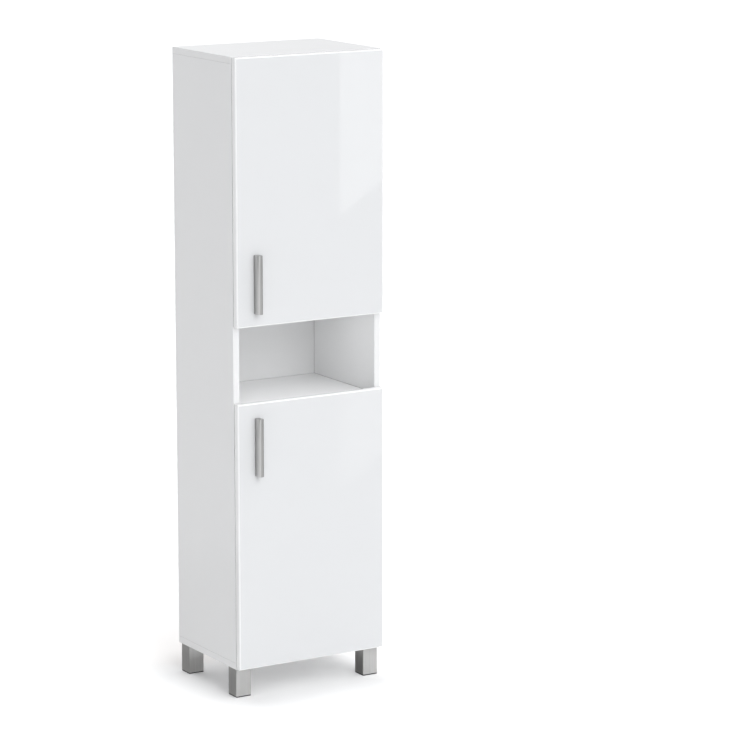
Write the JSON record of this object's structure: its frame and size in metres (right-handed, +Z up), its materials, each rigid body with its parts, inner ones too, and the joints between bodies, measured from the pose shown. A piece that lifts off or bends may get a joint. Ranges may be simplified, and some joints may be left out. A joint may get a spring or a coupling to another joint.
{
  "type": "freestanding bathroom cabinet",
  "caption": "Tall white gloss bathroom cabinet: hinged doors above and below an open niche, loose shelves inside, brushed bar handles, square brushed legs.",
  "frame": {"origin": "on the floor, under the middle of the whole cabinet including its handles", "axes": "+Z up, the doors face -Y, +X to the right seen from the front, where the hinges are"},
  "size_m": [0.45, 0.364, 1.71],
  "materials": {
    "white_melamine": "smooth white melamine on chipboard, low sheen",
    "white_gloss_front": "white high-gloss foil on fibreboard",
    "white_hardboard": "thin hardboard, white on the inside",
    "brushed_nickel_handle": "brushed satin nickel",
    "brushed_steel_legs": "brushed along the leg",
    "nickel_hinges": "bright nickel plate",
    "nickel_fittings": "nickel plate",
    "zinc_screws": "zinc plate",
    "beech_dowels": "plain beech",
    "black_leg_plastic": "matt black"
  },
  "bodies": {
    "carcass": {"left_side_panel": "white_melamine", "right_side_panel": "white_melamine", "top_panel": "white_melamine", "bottom_panel": "white_melamine", "niche_floor_shelf": "white_melamine", "niche_top_shelf": "white_melamine", "back_panel": "white_hardboard", "upper_shelf_high": "white_melamine", "upper_shelf_low": "white_melamine", "lower_shelf": "white_melamine", "upper_shelf_high_pins": "nickel_fittings", "upper_shelf_low_pins": "nickel_fittings", "lower_shelf_pins": "nickel_fittings", "cam_locks": "nickel_fittings", "cam_bolts": "zinc_screws", "wooden_dowels": "beech_dowels", "back_nails": "zinc_screws", "front_left_leg": "brushed_steel_legs", "front_right_leg": "brushed_steel_legs", "back_left_leg": "brushed_steel_legs", "back_right_leg": "brushed_steel_legs", "front_left_leg_plate": "black_leg_plastic", "front_right_leg_plate": "black_leg_plastic", "back_left_leg_plate": "black_leg_plastic", "back_right_leg_plate": "black_leg_plastic", "front_left_leg_glide": "black_leg_plastic", "front_right_leg_glide": "black_leg_plastic", "back_left_leg_glide": "black_leg_plastic", "back_right_leg_glide": "black_leg_plastic", "leg_screws": "zinc_screws", "upper_door_high_hinge_plate": "nickel_hinges", "upper_door_low_hinge_plate": "nickel_hinges", "lower_door_high_hinge_plate": "nickel_hinges", "lower_door_low_hinge_plate": "nickel_hinges", "upper_door_high_hinge_arm": "nickel_hinges", "upper_door_low_hinge_arm": "nickel_hinges", "lower_door_high_hinge_arm": "nickel_hinges", "lower_door_low_hinge_arm": "nickel_hinges", "hinge_plate_screws": "zinc_screws", "hinge_arm_screws": "zinc_screws"},
    "upper_door_leaf": {"upper_door": "white_gloss_front", "upper_handle": "brushed_nickel_handle", "upper_handle_screws": "zinc_screws", "upper_hinge_pins": "zinc_screws", "upper_cup_screws": "zinc_screws", "upper_door_high_hinge_cup": "nickel_hinges", "upper_door_low_hinge_cup": "nickel_hinges"},
    "lower_door_leaf": {"lower_door": "white_gloss_front", "lower_handle": "brushed_nickel_handle", "lower_handle_screws": "zinc_screws", "lower_hinge_pins": "zinc_screws", "lower_cup_screws": "zinc_screws", "lower_door_high_hinge_cup": "nickel_hinges", "lower_door_low_hinge_cup": "nickel_hinges"}
  },
  "joints": [
    {"name": "upper_door_swing", "type": "hinge", "parent": "carcass", "child": "upper_door_leaf", "pos_m": [0.2195, -0.145, 1.357], "axis": [0, 0, 1], "range_deg": [0, 100]},
    {"name": "lower_door_swing", "type": "hinge", "parent": "carcass", "child": "lower_door_leaf", "pos_m": [0.2195, -0.145, 0.4405], "axis": [0, 0, 1], "range_deg": [0, 100]}
  ]
}
